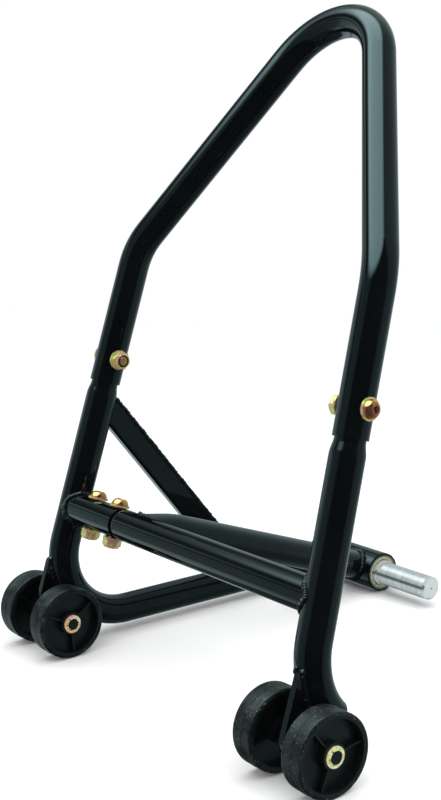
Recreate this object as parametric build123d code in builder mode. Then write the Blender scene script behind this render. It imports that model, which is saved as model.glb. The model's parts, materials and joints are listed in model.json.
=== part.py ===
"""Single-sided rear paddock stand: a hoop handle on two wheeled legs, with a turning lift pin.

Row frame: millimetres, +Z up, +X to the stand's right, +Y from the wheels back to the lift pin.
The origin is on the floor, midway between the wheels, under the middle of the stand's footprint.
The stand rests on its four wheels and on the pin housing, so its legs lean back by LEAN.
"""
from build123d import *
from math import atan2, cos, degrees, hypot, radians, sin, tan
import os

os.makedirs("parts", exist_ok=True)

# ---- driving dimensions: frame tubes -------------------------------------------------------
TUBE_OD = 32.0                  # all round frame tubes
TUBE_WALL = 2.0
COPE_GAP = 0.02                 # gap left under a weld where one tube's end meets another
FIT_GAP = 0.1                   # radial gap between a swaged end and the tube that takes it
LEAN = 18.5                     # degrees the legs lean back
SPLAY = 3.2                     # degrees each leg leans inwards
TOE_IN = 1.5                    # degrees each lower bend is turned inwards about its own leg
LEG_SPACING = 423.4             # leg centre lines, at axle height
LOWER_BEND_R = 72.0             # centre-line radius of the bend at each leg's foot
STUB_ARC = 58.0                 # degrees of that bend on the right leg, which stops short

# ---- driving dimensions: heights measured up the leg from the axle -------------------------
CROSS_UP = 117.6                # cross tube
BRACE_UP = 235.0                # where the brace's centre line meets the leg's centre line
SWAGE_UP = 239.0                # where a leg starts to narrow
HOOP_FOOT_UP = 254.5            # lower edge of the hoop
HOOP_BOLT_UP = 281.0
LEG_TOP_UP = 302.0
KNEE_UP = 400.2
LEG_SWAGE_LENGTH = 15.0
CROSS_SWAGE_LENGTH = 7.0

# ---- driving dimensions: hoop --------------------------------------------------------------
HOOP_INWARD = 30.06             # degrees the hoop's upper limbs turn inwards
HOOP_BACK = 0.206               # their extra lean back, per unit of length up the leg
HOOP_BEND_R = 78.0

# ---- driving dimensions: wheels ------------------------------------------------------------
WHEEL_OD = 75.0
WHEEL_WIDTH = 24.0
WHEEL_OUT = 45.0                # bracket centre to the wheel's far face
BRACKET_X = 211.0
BRACKET_THICK = 6.0
AXLE_BACK = 4.0                 # axle behind the leg's centre line
AXLE_D = 12.0
AXLE_LENGTH = 96.0
END_PLAY = 0.3                  # axial gap on each side of a hub
RUNNING_GAP = 0.05              # radial gap between a hub and its axle

# ---- driving dimensions: pin and housing ---------------------------------------------------
HOUSING_OD = 45.0
HOUSING_REACH = 377.0           # pin axis behind the axle
HOUSING_RIGHT = -102.3
HOUSING_LEFT = -212.0
PIN_D = 26.4
PIN_FREE = 80.3                 # how far the pin stands out of the housing
JOURNAL_D = 29.0
BEARING_OD = 39.4
BEARING_ID = 35.7
BEARING_LENGTH = 20.0
LEFT_BEARING_INSET = 8.0        # deep enough to leave room for the end cap
ROLLER_COUNT = 28
EDGE_BEVEL = 0.8                # on the housing's ends and the axles' ends

# ---- driving dimensions: stay and brace ----------------------------------------------------
STAY_START_X = -81.0
STAY_END_X = -134.0
STAY_BEND_BACK = 46.0           # the stay's slight bend, measured back from the cross tube
STAY_BEND_UP = 5.0              # and up from the cross tube's axis
STAY_BEND_R = 160.0
BRACE_DROP = 34.4               # degrees the brace falls away from square to the leg
BRACE_DEEP = 25.0
BRACE_WIDE = 15.0
BRACE_WALL = 1.5
BRACE_CORNER_R = 3.0

# ---- driving dimensions: M10 fasteners -----------------------------------------------------
BOLT_D = 10.0
BOLT_LENGTH = 45.0
BOLT_HOLE_D = 10.5
HEAD_D = 17.5
HEAD_HIGH = 6.3
HEAD_RIM = 1.0                  # straight edge under the head's dome
HEAD_FLAT_R = 4.4               # flat round the key socket
KEY_SIZE = 6.0
SOCKET_DEEP = 3.2
WASHER_D = 20.5
WASHER_THICK = 2.0
NUT_FLATS = 17.0
NUT_HEX_HIGH = 6.4
NUT_HIGH = 8.4
INSERT_D = 13.0
THREAD_BEVEL = 1.0
SLEEVE_END_X = -110.5
CROSS_BOLT_XS = (-162.0, -120.0)
CROSS_SHOULDER_X = -103.0       # where the cross tube is back to its full size

# ---- worked-out values ---------------------------------------------------------------------
TUBE_R = TUBE_OD / 2
TUBE_BORE_R = TUBE_R - TUBE_WALL
SPIGOT_R = TUBE_BORE_R - FIT_GAP
SPIGOT_BORE_R = SPIGOT_R - TUBE_WALL
AXLE_Y = (WHEEL_OD - HOUSING_OD) / 4 - HOUSING_REACH / 2
AXLE_Z = WHEEL_OD / 2
HOUSING_Y = AXLE_Y + HOUSING_REACH
HOUSING_Z = HOUSING_OD / 2
BACK = Vector(0, cos(radians(LEAN)), -sin(radians(LEAN)))     # square to the legs, rearwards
UP = Vector(0, sin(radians(LEAN)), cos(radians(LEAN)))        # up the legs
AXLE_POINT = Vector(0, AXLE_Y, AXLE_Z)
RIGHT = Vector(1, 0, 0)


def stand_point(x, back, up):
    """A point given across the stand, behind the legs' centre lines and up the legs."""
    return AXLE_POINT + RIGHT * x + BACK * (back - AXLE_BACK) + UP * up


def leg_plane(side):
    """A leg's own plane (side -1 left, +1 right): x is backwards, y is up the leg."""
    splay = radians(SPLAY)
    toe = radians(TOE_IN)
    along = UP * cos(splay) - RIGHT * (side * sin(splay))
    square = BACK.cross(along)
    back = BACK * cos(toe) - square * (side * sin(toe))
    return Plane(stand_point(side * LEG_SPACING / 2, 0, 0), x_dir=back, z_dir=back.cross(along))


def across(plane, up):
    """The plane square to a leg at a height up the leg."""
    return Plane(plane.from_local_coords((0, up, 0)), x_dir=plane.x_dir, z_dir=plane.y_dir)


def lathe(plane):
    """The half plane for turning a profile about a plane's normal: x is radius, y is height."""
    return Plane(plane.origin, x_dir=plane.x_dir, z_dir=-plane.y_dir)


def turn(plane, points, mode=Mode.ADD):
    """Turn a closed outline of (radius, height) points about a plane's normal."""
    with BuildSketch(lathe(plane)) as outline:
        with BuildLine():
            Polyline(*points, close=True)
        make_face()
    revolve(outline.sketch, axis=Axis(plane.origin, plane.z_dir), mode=mode)


def bore(plane, radius, start, length):
    """Cut a round hole along a plane's normal."""
    with BuildSketch(plane.offset(start)) as hole:
        Circle(radius)
    extrude(hole.sketch, amount=length, mode=Mode.SUBTRACT)


def bolt_hole(middle, direction):
    """Drill a bolt's hole right through a tube."""
    bore(Plane(middle, z_dir=direction), BOLT_HOLE_D / 2, -TUBE_OD, 2 * TUBE_OD)


def up_leg(leg, up):
    """The point on a leg's centre line at a height up the leg."""
    return leg.from_local_coords((0, up, 0))


def cope_to(plane, radius, start, length):
    """Cut a tube's end to the outside of another tube, with a hair's gap under the weld."""
    bore(plane, radius + COPE_GAP, start, length)


def rounded_path(points, radius):
    """Draw straight runs through the points, with an arc of one radius at each corner."""
    corners = [Vector(*point) for point in points]
    start = corners[0]
    for before, corner, after in zip(corners, corners[1:], corners[2:]):
        to_before = (before - corner).normalized()
        to_after = (after - corner).normalized()
        half_angle = radians(to_before.get_angle(to_after)) / 2
        bisector = (to_before + to_after).normalized()
        first = corner + to_before * (radius / tan(half_angle))
        last = corner + to_after * (radius / tan(half_angle))
        middle = corner + bisector * (radius / sin(half_angle) - radius)
        Line(start, first)
        ThreePointArc(first, middle, last)
        start = last
    Line(start, corners[-1])


def swage(plane, start, end, length):
    """A tube's end narrowed over a length to a spigot, turned about a plane's normal."""
    neck = start + length
    with BuildSketch(lathe(plane)) as outline:
        with BuildLine():
            Spline((TUBE_R, start), (SPIGOT_R, neck), tangents=[(0, 1), (0, 1)])
            Polyline((SPIGOT_R, neck), (SPIGOT_R, end), (SPIGOT_BORE_R, end), (SPIGOT_BORE_R, neck))
            Spline((SPIGOT_BORE_R, neck), (TUBE_BORE_R, start), tangents=[(0, -1), (0, -1)])
            Line((TUBE_BORE_R, start), (TUBE_R, start))
        make_face()
    revolve(outline.sketch, axis=Axis(plane.origin, plane.z_dir))


def round_tube(path):
    """Sweep the frame tube's section along a path."""
    with BuildSketch(Plane(path @ 0, z_dir=path % 0)) as section:
        Circle(TUBE_R)
        Circle(TUBE_BORE_R, mode=Mode.SUBTRACT)
    sweep(section.sketch, path=path)


def finish(part, name):
    """Label a finished piece and write it to its own file."""
    part.label = name
    export_step(part, f"parts/{name}.step")
    return part


LEFT_LEG = leg_plane(-1)
RIGHT_LEG = leg_plane(1)

# The lower bend turns until the riser is level, and starts where that puts the riser at the
# height of the pin housing's axis.
BEND_ARC = degrees(atan2(LEFT_LEG.y_dir.Z, LEFT_LEG.x_dir.Z))
BEND_RISE = LEFT_LEG.x_dir.Z - hypot(LEFT_LEG.x_dir.Z, LEFT_LEG.y_dir.Z)
BEND_UP = (HOUSING_Z - LEFT_LEG.origin.Z - LOWER_BEND_R * BEND_RISE) / LEFT_LEG.y_dir.Z
BEND_CENTRE = (LOWER_BEND_R, BEND_UP)
BEND_END = (
    LOWER_BEND_R - LOWER_BEND_R * cos(radians(BEND_ARC)),
    BEND_UP - LOWER_BEND_R * sin(radians(BEND_ARC)),
)
RISER_DIR = LEFT_LEG.x_dir * sin(radians(BEND_ARC)) - LEFT_LEG.y_dir * cos(radians(BEND_ARC))
RISER_START = LEFT_LEG.from_local_coords((*BEND_END, 0))
RISER_PLANE = Plane(RISER_START, z_dir=RISER_DIR)

HOUSING_PLANE = Plane((0, HOUSING_Y, HOUSING_Z), x_dir=(0, 1, 0), z_dir=(1, 0, 0))
CROSS_PLANE = Plane(stand_point(0, 0, CROSS_UP), x_dir=BACK, z_dir=(1, 0, 0))


# ---- hoop handle: one bent tube, slipped over both leg tops -------------------------------
knee_x = LEG_SPACING / 2 - KNEE_UP * sin(radians(SPLAY))
crown_length = knee_x / sin(radians(HOOP_INWARD))
knee_up = KNEE_UP * cos(radians(SPLAY))
crown_point = stand_point(
    0, HOOP_BACK * crown_length, knee_up + crown_length * cos(radians(HOOP_INWARD))
)
hoop_corners = [
    up_leg(LEFT_LEG, HOOP_FOOT_UP),
    up_leg(LEFT_LEG, KNEE_UP),
    crown_point,
    up_leg(RIGHT_LEG, KNEE_UP),
    up_leg(RIGHT_LEG, HOOP_FOOT_UP),
]

with BuildPart() as hoop_handle:
    with BuildLine() as hoop_line:
        rounded_path(hoop_corners, HOOP_BEND_R)
    round_tube(hoop_line.line)
    for leg in (LEFT_LEG, RIGHT_LEG):
        bolt_hole(up_leg(leg, HOOP_BOLT_UP), leg.z_dir)
finish(hoop_handle.part, "hoop_handle")

# ---- left leg: spigot, straight leg, lower bend and riser in one tube ---------------------
riser_length = (HOUSING_Y - RISER_START.Y) / RISER_DIR.Y
with BuildPart() as left_leg:
    with BuildLine(LEFT_LEG) as left_line:
        Line((0, SWAGE_UP), (0, BEND_UP))
        CenterArc(BEND_CENTRE, LOWER_BEND_R, 180, BEND_ARC)
    with BuildLine() as left_path:
        add(left_line.line)
        Line(RISER_START, RISER_START + RISER_DIR * riser_length)
    round_tube(left_path.line)
    swage(across(LEFT_LEG, 0), SWAGE_UP, LEG_TOP_UP, LEG_SWAGE_LENGTH)
    cope_to(HOUSING_PLANE, HOUSING_OD / 2, -LEG_SPACING, 2 * LEG_SPACING)
    bolt_hole(up_leg(LEFT_LEG, HOOP_BOLT_UP), LEFT_LEG.z_dir)
finish(left_leg.part, "left_leg")

# ---- right leg: the same, but its bend stops as a short stub ------------------------------
with BuildPart() as right_leg:
    with BuildLine(RIGHT_LEG) as right_line:
        Line((0, SWAGE_UP), (0, BEND_UP))
        CenterArc(BEND_CENTRE, LOWER_BEND_R, 180, STUB_ARC)
    round_tube(right_line.line)
    swage(across(RIGHT_LEG, 0), SWAGE_UP, LEG_TOP_UP, LEG_SWAGE_LENGTH)
    bolt_hole(up_leg(RIGHT_LEG, HOOP_BOLT_UP), RIGHT_LEG.z_dir)
finish(right_leg.part, "right_leg")

# ---- end plug in the right leg's stub -----------------------------------------------------
PLUG_HEAD_THICK = 2.5
PLUG_DEPTH = 12.0
PLUG_WALL = 2.0
PLUG_EDGE_R = 1.8
PLUG_TAPER = 0.6                # how much smaller its inner end is, in radius
PLUG_SKIRT_ARC = 15             # degrees of the bend that its skirt reaches into
stub_end = right_line.line @ 1
stub_plane = Plane(stub_end, z_dir=right_line.line % 1)
with BuildPart() as leg_end_plug:
    with BuildSketch(stub_plane):
        Circle(TUBE_R)
    extrude(amount=PLUG_HEAD_THICK)
    fillet(leg_end_plug.faces().sort_by(Axis(stub_end, stub_plane.z_dir))[-1].edges(), PLUG_EDGE_R)
    turn(
        stub_plane,
        [
            (TUBE_BORE_R - PLUG_WALL, 0),
            (TUBE_BORE_R - FIT_GAP, 0),
            (TUBE_BORE_R - FIT_GAP - PLUG_TAPER, -PLUG_DEPTH),
            (TUBE_BORE_R - PLUG_WALL, -PLUG_DEPTH),
        ],
    )
    with BuildLine(RIGHT_LEG) as bore_line:
        CenterArc(BEND_CENTRE, LOWER_BEND_R, 180 + STUB_ARC - PLUG_SKIRT_ARC, PLUG_SKIRT_ARC)
    with BuildSketch(Plane(bore_line.line @ 0, z_dir=bore_line.line % 0)):
        Circle(TUBE_OD)
        Circle(TUBE_BORE_R - FIT_GAP / 2, mode=Mode.SUBTRACT)
    sweep(path=bore_line.line, mode=Mode.SUBTRACT)
finish(leg_end_plug.part, "leg_end_plug")

# ---- cross tube: welded to the right leg, with a swaged left end --------------------------
leg_at_cross = LEG_SPACING / 2 - CROSS_UP * tan(radians(SPLAY))
left_facing = Plane(CROSS_PLANE.origin, x_dir=BACK, z_dir=-CROSS_PLANE.z_dir)
SPIGOT_CLEAR = 4.0              # from the spigot's end to the leg
SPIGOT_END_X = -leg_at_cross + TUBE_R + SPIGOT_CLEAR
with BuildPart() as cross_tube:
    with BuildSketch(CROSS_PLANE.offset(CROSS_SHOULDER_X)):
        Circle(TUBE_R)
        Circle(TUBE_BORE_R, mode=Mode.SUBTRACT)
    extrude(amount=leg_at_cross - CROSS_SHOULDER_X)
    swage(left_facing, -CROSS_SHOULDER_X, -SPIGOT_END_X, CROSS_SWAGE_LENGTH)
    cope_to(across(RIGHT_LEG, CROSS_UP), TUBE_R, -TUBE_OD, 2 * TUBE_OD)
    for bolt_x in CROSS_BOLT_XS:
        bolt_hole(stand_point(bolt_x, 0, CROSS_UP), UP)
finish(cross_tube.part, "cross_tube")

# ---- sleeve on the left leg that takes the cross tube's spigot ----------------------------
with BuildPart() as cross_sleeve:
    with BuildSketch(CROSS_PLANE.offset(-leg_at_cross)):
        Circle(TUBE_R)
        Circle(TUBE_BORE_R, mode=Mode.SUBTRACT)
    extrude(amount=leg_at_cross + SLEEVE_END_X)
    cope_to(across(LEFT_LEG, CROSS_UP), TUBE_R, -TUBE_OD, 2 * TUBE_OD)
    for bolt_x in CROSS_BOLT_XS:
        bolt_hole(stand_point(bolt_x, 0, CROSS_UP), UP)
finish(cross_sleeve.part, "cross_sleeve")

# ---- stay tube from the cross tube to the pin housing -------------------------------------
stay_run = (STAY_END_X - STAY_START_X) / HOUSING_REACH
stay_corners = [
    stand_point(STAY_START_X, 0, CROSS_UP),
    stand_point(STAY_START_X + stay_run * STAY_BEND_BACK, STAY_BEND_BACK, CROSS_UP + STAY_BEND_UP),
    Vector(STAY_END_X, HOUSING_Y, HOUSING_Z),
]
with BuildPart() as stay_tube:
    with BuildLine() as stay_line:
        rounded_path(stay_corners, STAY_BEND_R)
    round_tube(stay_line.line)
    cope_to(CROSS_PLANE, TUBE_R, -LEG_SPACING, 2 * LEG_SPACING)
    cope_to(HOUSING_PLANE, HOUSING_OD / 2, -LEG_SPACING, 2 * LEG_SPACING)
finish(stay_tube.part, "stay_tube")

# ---- rectangular brace between the left leg and its riser ---------------------------------
drop = radians(BRACE_DROP)
brace_dir = LEFT_LEG.x_dir * cos(drop) - LEFT_LEG.y_dir * sin(drop)
brace_start = up_leg(LEFT_LEG, BRACE_UP)
brace_plane = Plane(brace_start, x_dir=LEFT_LEG.z_dir, z_dir=brace_dir)
rise_above_riser = brace_start.Z - HOUSING_Z
brace_length = rise_above_riser / -brace_dir.Z
with BuildPart() as brace_tube:
    with BuildSketch(brace_plane):
        RectangleRounded(BRACE_WIDE, BRACE_DEEP, BRACE_CORNER_R)
        offset(amount=-BRACE_WALL, mode=Mode.SUBTRACT)
    extrude(amount=brace_length)
    cope_to(across(LEFT_LEG, BRACE_UP), TUBE_R, -2 * TUBE_OD, 4 * TUBE_OD)
    cope_to(RISER_PLANE, TUBE_R, 0, riser_length)
finish(brace_tube.part, "brace_tube")

# ---- pin housing --------------------------------------------------------------------------
housing_length = HOUSING_RIGHT - HOUSING_LEFT
CENTRE_BORE_R = 18.0
housing_left_plane = HOUSING_PLANE.offset(HOUSING_LEFT)
with BuildPart() as pin_housing:
    with BuildSketch(housing_left_plane):
        Circle(HOUSING_OD / 2)
    extrude(amount=housing_length)
    chamfer(pin_housing.edges(), EDGE_BEVEL)
    bore(housing_left_plane, CENTRE_BORE_R, 0, housing_length)
    bore(housing_left_plane, BEARING_OD / 2, 0, LEFT_BEARING_INSET + BEARING_LENGTH)
    bore(housing_left_plane, BEARING_OD / 2, housing_length - BEARING_LENGTH, BEARING_LENGTH)
finish(pin_housing.part, "pin_housing")

# ---- cap in the housing's closed left end -------------------------------------------------
CAP_THICK = 2.0
CAP_DEPTH = 6.0
CAP_WALL = 1.8
CAP_BEVEL = 1.5
cap_r = HOUSING_OD / 2 - 1.0
cap_rim = BEARING_OD / 2 - FIT_GAP
with BuildPart() as housing_end_cap:
    turn(
        housing_left_plane,
        [
            (0, -CAP_THICK),
            (cap_r - CAP_BEVEL, -CAP_THICK),
            (cap_r, CAP_BEVEL / 2 - CAP_THICK),
            (cap_r, 0),
            (cap_rim, 0),
            (cap_rim, CAP_DEPTH),
            (cap_rim - CAP_WALL, CAP_DEPTH),
            (cap_rim - CAP_WALL, 0),
            (0, 0),
        ],
    )
finish(housing_end_cap.part, "housing_end_cap")

# ---- the two roller bearings: rings, end rings and rollers --------------------------------
END_RING_THICK = 2.0
END_RING_INSET = 0.7
END_RING_BORE_R = 15.9
ROLLER_GAP = 0.02
ROLLER_END_GAP = 0.3
roller_r = (BEARING_ID - JOURNAL_D) / 4 - ROLLER_GAP
roller_pitch_r = (BEARING_ID + JOURNAL_D) / 4
roller_inset = END_RING_INSET + END_RING_THICK + ROLLER_END_GAP
bearing_starts = (HOUSING_LEFT + LEFT_BEARING_INSET, HOUSING_RIGHT - BEARING_LENGTH)

with BuildPart() as bearing_outer_rings:
    for start_x in bearing_starts:
        with BuildSketch(HOUSING_PLANE.offset(start_x)):
            Circle(BEARING_OD / 2)
            Circle(BEARING_ID / 2, mode=Mode.SUBTRACT)
        extrude(amount=BEARING_LENGTH)
finish(bearing_outer_rings.part, "bearing_outer_rings")

with BuildPart() as bearing_end_rings:
    for start_x in bearing_starts:
        for inset in (END_RING_INSET, BEARING_LENGTH - END_RING_INSET - END_RING_THICK):
            with BuildSketch(HOUSING_PLANE.offset(start_x + inset)):
                Circle(BEARING_ID / 2)
                Circle(END_RING_BORE_R, mode=Mode.SUBTRACT)
            extrude(amount=END_RING_THICK)
finish(bearing_end_rings.part, "bearing_end_rings")

with BuildPart() as bearing_rollers:
    for start_x in bearing_starts:
        with BuildSketch(HOUSING_PLANE.offset(start_x + roller_inset)):
            with PolarLocations(roller_pitch_r, ROLLER_COUNT):
                Circle(roller_r)
        extrude(amount=BEARING_LENGTH - 2 * roller_inset)
finish(bearing_rollers.part, "bearing_rollers")

# ---- lift pin: a journal in the bearings and a smaller free end ---------------------------
PIN_LEFT_X = HOUSING_LEFT + 3.0
PIN_LEFT_BEVEL = 1.0
PIN_TIP_X = HOUSING_RIGHT + PIN_FREE
SHOULDER_OUT = 3.5
SHOULDER_BEVEL = 1.2
TIP_BEVEL = 2.2
CIRCLIP_THICK = 1.5
CIRCLIP_R = 17.0
CIRCLIP_SIDE_GAP = 0.3
GROOVE_DEPTH = 1.0
CENTRE_MARK_R = 1.6
clip_xs = [start_x - CIRCLIP_SIDE_GAP - CIRCLIP_THICK for start_x in bearing_starts]
groove_r = JOURNAL_D / 2 - GROOVE_DEPTH
journal_r = JOURNAL_D / 2
pin_r = PIN_D / 2

with BuildPart() as lift_pin:
    turn(
        HOUSING_PLANE,
        [
            (0, PIN_LEFT_X),
            (journal_r - PIN_LEFT_BEVEL, PIN_LEFT_X),
            (journal_r, PIN_LEFT_X + PIN_LEFT_BEVEL),
            (journal_r, HOUSING_RIGHT + SHOULDER_OUT - SHOULDER_BEVEL),
            (pin_r, HOUSING_RIGHT + SHOULDER_OUT),
            (pin_r, PIN_TIP_X - TIP_BEVEL),
            (pin_r - TIP_BEVEL, PIN_TIP_X),
            (CENTRE_MARK_R, PIN_TIP_X),
            (0, PIN_TIP_X - CENTRE_MARK_R),
        ],
    )
    for clip_x in clip_xs:
        with BuildSketch(HOUSING_PLANE.offset(clip_x)):
            Circle(CIRCLIP_R)
            Circle(groove_r, mode=Mode.SUBTRACT)
        extrude(amount=CIRCLIP_THICK, mode=Mode.SUBTRACT)
finish(lift_pin.part, "lift_pin")

# ---- circlips that hold the pin in its bearings -------------------------------------------
CIRCLIP_GAP = 7.0               # between its two ends
CIRCLIP_BAND_R = 16.2
LUG_R = 2.2
LUG_OUT = CIRCLIP_GAP / 2 + 1.2 # from the middle of the gap to a lug's centre
LUG_HOLE_R = 0.9
with BuildPart() as pin_circlips:
    for clip_x in clip_xs:
        with BuildSketch(HOUSING_PLANE.offset(clip_x)):
            Circle(CIRCLIP_BAND_R)
            Circle(groove_r, mode=Mode.SUBTRACT)
            with Locations((0, -CIRCLIP_R)):
                Rectangle(CIRCLIP_GAP, CIRCLIP_R, mode=Mode.SUBTRACT)
            with Locations((-LUG_OUT, LUG_R - CIRCLIP_R), (LUG_OUT, LUG_R - CIRCLIP_R)):
                Circle(LUG_R)
                Circle(LUG_HOLE_R, mode=Mode.SUBTRACT)
            Circle(groove_r, mode=Mode.SUBTRACT)
        extrude(amount=CIRCLIP_THICK)
finish(pin_circlips.part, "pin_circlips")

# ---- wheel brackets: flat plates under the lower bends ------------------------------------
BRACKET_FOOT_R = 20.0
BRACKET_TIP_UP = 57.0
BRACKET_TIP_BITE = 1.5          # how far the plate's tip runs into the straight tube's wall
BRACKET_BITE = 1.2              # and its edge into the bend's wall, before coping
bracket_front = AXLE_BACK - BRACKET_FOOT_R
bracket_back = AXLE_BACK + BRACKET_FOOT_R


def bracket_plane(side):
    """The middle of a bracket's thickness: x is backwards, y is up the leg."""
    return Plane(stand_point(side * BRACKET_X, 0, 0), x_dir=BACK, z_dir=RIGHT)


def wheel_bracket(side, leg_part):
    """A plate from the bend's underside down to the axle, coped to the leg."""
    with BuildPart() as plate:
        with BuildSketch(bracket_plane(side)):
            with BuildLine():
                Polyline(
                    (bracket_front, 0),
                    (BRACKET_TIP_BITE - TUBE_R, BRACKET_TIP_UP),
                    (bracket_back, BRACKET_TIP_UP),
                    (bracket_back, 0),
                )
                RadiusArc((bracket_back, 0), (bracket_front, 0), BRACKET_FOOT_R)
            make_face()
            with Locations(BEND_CENTRE):
                Circle(LOWER_BEND_R + TUBE_R - BRACKET_BITE, mode=Mode.SUBTRACT)
            with Locations((AXLE_BACK, 0)):
                Circle(AXLE_D / 2, mode=Mode.SUBTRACT)
        extrude(amount=BRACKET_THICK / 2, both=True)
        add(leg_part, mode=Mode.SUBTRACT)
    return plate.part


finish(wheel_bracket(-1, left_leg.part), "left_wheel_bracket")
finish(wheel_bracket(1, right_leg.part), "right_wheel_bracket")

# ---- axles, spacers and push-on retainers -------------------------------------------------
SPACER_D = 18.0
RETAINER_D = 19.0
RETAINER_THICK = 1.1
TOOTH_RISE = 1.3
TOOTH_ROOT_R = 7.6
TOOTH_COUNT = 6
TOOTH_SLOT_LENGTH = 2.4
TOOTH_SLOT_WIDE = 1.1
hub_outer = WHEEL_OUT
hub_inner = WHEEL_OUT - WHEEL_WIDTH
axle_centres = {
    side: Plane((side * BRACKET_X, AXLE_Y, AXLE_Z), x_dir=(0, 1, 0), z_dir=(1, 0, 0)) for side in (-1, 1)
}


def axle(side):
    """A plain rod with bevelled ends, welded through its bracket."""
    with BuildPart() as rod:
        with BuildSketch(axle_centres[side]):
            Circle(AXLE_D / 2)
        extrude(amount=AXLE_LENGTH / 2, both=True)
        chamfer(rod.edges().filter_by(GeomType.CIRCLE), EDGE_BEVEL)
    return rod.part


finish(axle(-1), "left_axle")
finish(axle(1), "right_axle")

with BuildPart() as wheel_spacers:
    for side in (-1, 1):
        for way in (-1, 1):
            start = way * BRACKET_THICK / 2
            length = hub_inner - END_PLAY - BRACKET_THICK / 2
            with BuildSketch(axle_centres[side].offset(start)):
                Circle(SPACER_D / 2)
                Circle(AXLE_D / 2, mode=Mode.SUBTRACT)
            extrude(amount=way * length)
finish(wheel_spacers.part, "wheel_spacers")

with BuildPart() as axle_retainers:
    for side in (-1, 1):
        for way in (-1, 1):
            seat = axle_centres[side].offset(way * (hub_outer + END_PLAY))
            seat = Plane(seat.origin, x_dir=seat.x_dir, z_dir=seat.z_dir * way)
            turn(
                seat,
                [
                    (RETAINER_D / 2, 0),
                    (RETAINER_D / 2, RETAINER_THICK),
                    (TOOTH_ROOT_R, RETAINER_THICK),
                    (AXLE_D / 2, RETAINER_THICK + TOOTH_RISE),
                    (AXLE_D / 2, TOOTH_RISE),
                    (TOOTH_ROOT_R, 0),
                ],
            )
            with BuildSketch(seat):
                with PolarLocations(AXLE_D / 2, TOOTH_COUNT):
                    Rectangle(TOOTH_SLOT_LENGTH, TOOTH_SLOT_WIDE)
            extrude(amount=2 * RETAINER_THICK + TOOTH_RISE, mode=Mode.SUBTRACT)
finish(axle_retainers.part, "axle_retainers")

# ---- wheels: a ribbed plastic hub with a rubber tyre --------------------------------------
TYRE_BORE_R = 34.0
RIM_BORE_R = 31.6
RECESS = 8.5
BOSS_R = 11.5
RIB_THICK = 2.2
RIB_HIGH = 6.0
RIB_COUNT = 3
RIB_DRAFT = 3                   # degrees
BOSS_DRAFT = 0.5                # how much wider the boss is at its root, in radius
RIM_DRAFT = 0.7                 # how much narrower the rim's recess is at its root, in radius
TREAD_ROUND = 1.8
MOULD_LINE_HIGH = 0.25
MOULD_LINE_WIDE = 0.9
web_half = WHEEL_WIDTH / 2 - RECESS


def wheel_plane(side, way):
    """The middle of a wheel: way is -1 for the wheel left of the bracket, +1 for the right."""
    middle = way * (WHEEL_OUT - WHEEL_WIDTH / 2)
    return axle_centres[side].offset(middle)


def wheel_hub(plane, rib_angle):
    """Rim barrel, web, boss and ribs on both faces, with a bore that runs on the axle."""
    with BuildPart() as hub:
        with BuildSketch(plane):
            Circle(TYRE_BORE_R)
        extrude(amount=WHEEL_WIDTH / 2, both=True)
        for way in (-1, 1):
            face = Plane(plane.origin, x_dir=plane.x_dir, z_dir=plane.z_dir * way)
            turn(
                face,
                [
                    (BOSS_R, WHEEL_WIDTH / 2),
                    (BOSS_R + BOSS_DRAFT, web_half),
                    (RIM_BORE_R - RIM_DRAFT, web_half),
                    (RIM_BORE_R, WHEEL_WIDTH / 2),
                ],
                mode=Mode.SUBTRACT,
            )
            with BuildSketch(face.offset(web_half)):
                with PolarLocations((BOSS_R + RIM_BORE_R) / 2, RIB_COUNT, start_angle=way * rib_angle):
                    Rectangle(RIM_BORE_R - BOSS_R, RIB_THICK)
            extrude(amount=RIB_HIGH, taper=RIB_DRAFT)
        bore(plane, AXLE_D / 2 + RUNNING_GAP, -WHEEL_WIDTH, 2 * WHEEL_WIDTH)
    return hub.part


def wheel_tyre(plane):
    """A solid rubber band with rounded shoulders and a raised mould line round the tread."""
    tread_r = WHEEL_OD / 2 - MOULD_LINE_HIGH
    half = WHEEL_WIDTH / 2
    ridge = MOULD_LINE_WIDE / 2
    with BuildPart() as tyre:
        with BuildSketch(lathe(plane)):
            with BuildLine():
                Polyline((TYRE_BORE_R, half), (TYRE_BORE_R, -half), (tread_r - TREAD_ROUND, -half))
                RadiusArc((tread_r - TREAD_ROUND, -half), (tread_r, TREAD_ROUND - half), -TREAD_ROUND)
                Polyline(
                    (tread_r, TREAD_ROUND - half),
                    (tread_r, -ridge),
                    (WHEEL_OD / 2, -ridge / 2),
                    (WHEEL_OD / 2, ridge / 2),
                    (tread_r, ridge),
                    (tread_r, half - TREAD_ROUND),
                )
                RadiusArc((tread_r, half - TREAD_ROUND), (tread_r - TREAD_ROUND, half), -TREAD_ROUND)
                Line((tread_r - TREAD_ROUND, half), (TYRE_BORE_R, half))
            make_face()
        revolve(axis=Axis(plane.origin, plane.z_dir))
    return tyre.part


WHEELS = {
    "left_outer": (-1, -1, 20.0),
    "left_inner": (-1, 1, 33.5),
    "right_inner": (1, -1, 70.0),
    "right_outer": (1, 1, 6.5),
}
for name, (side, way, rib_angle) in WHEELS.items():
    plane = wheel_plane(side, way)
    finish(wheel_hub(plane, rib_angle), f"{name}_hub")
    finish(wheel_tyre(plane), f"{name}_tyre")

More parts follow.
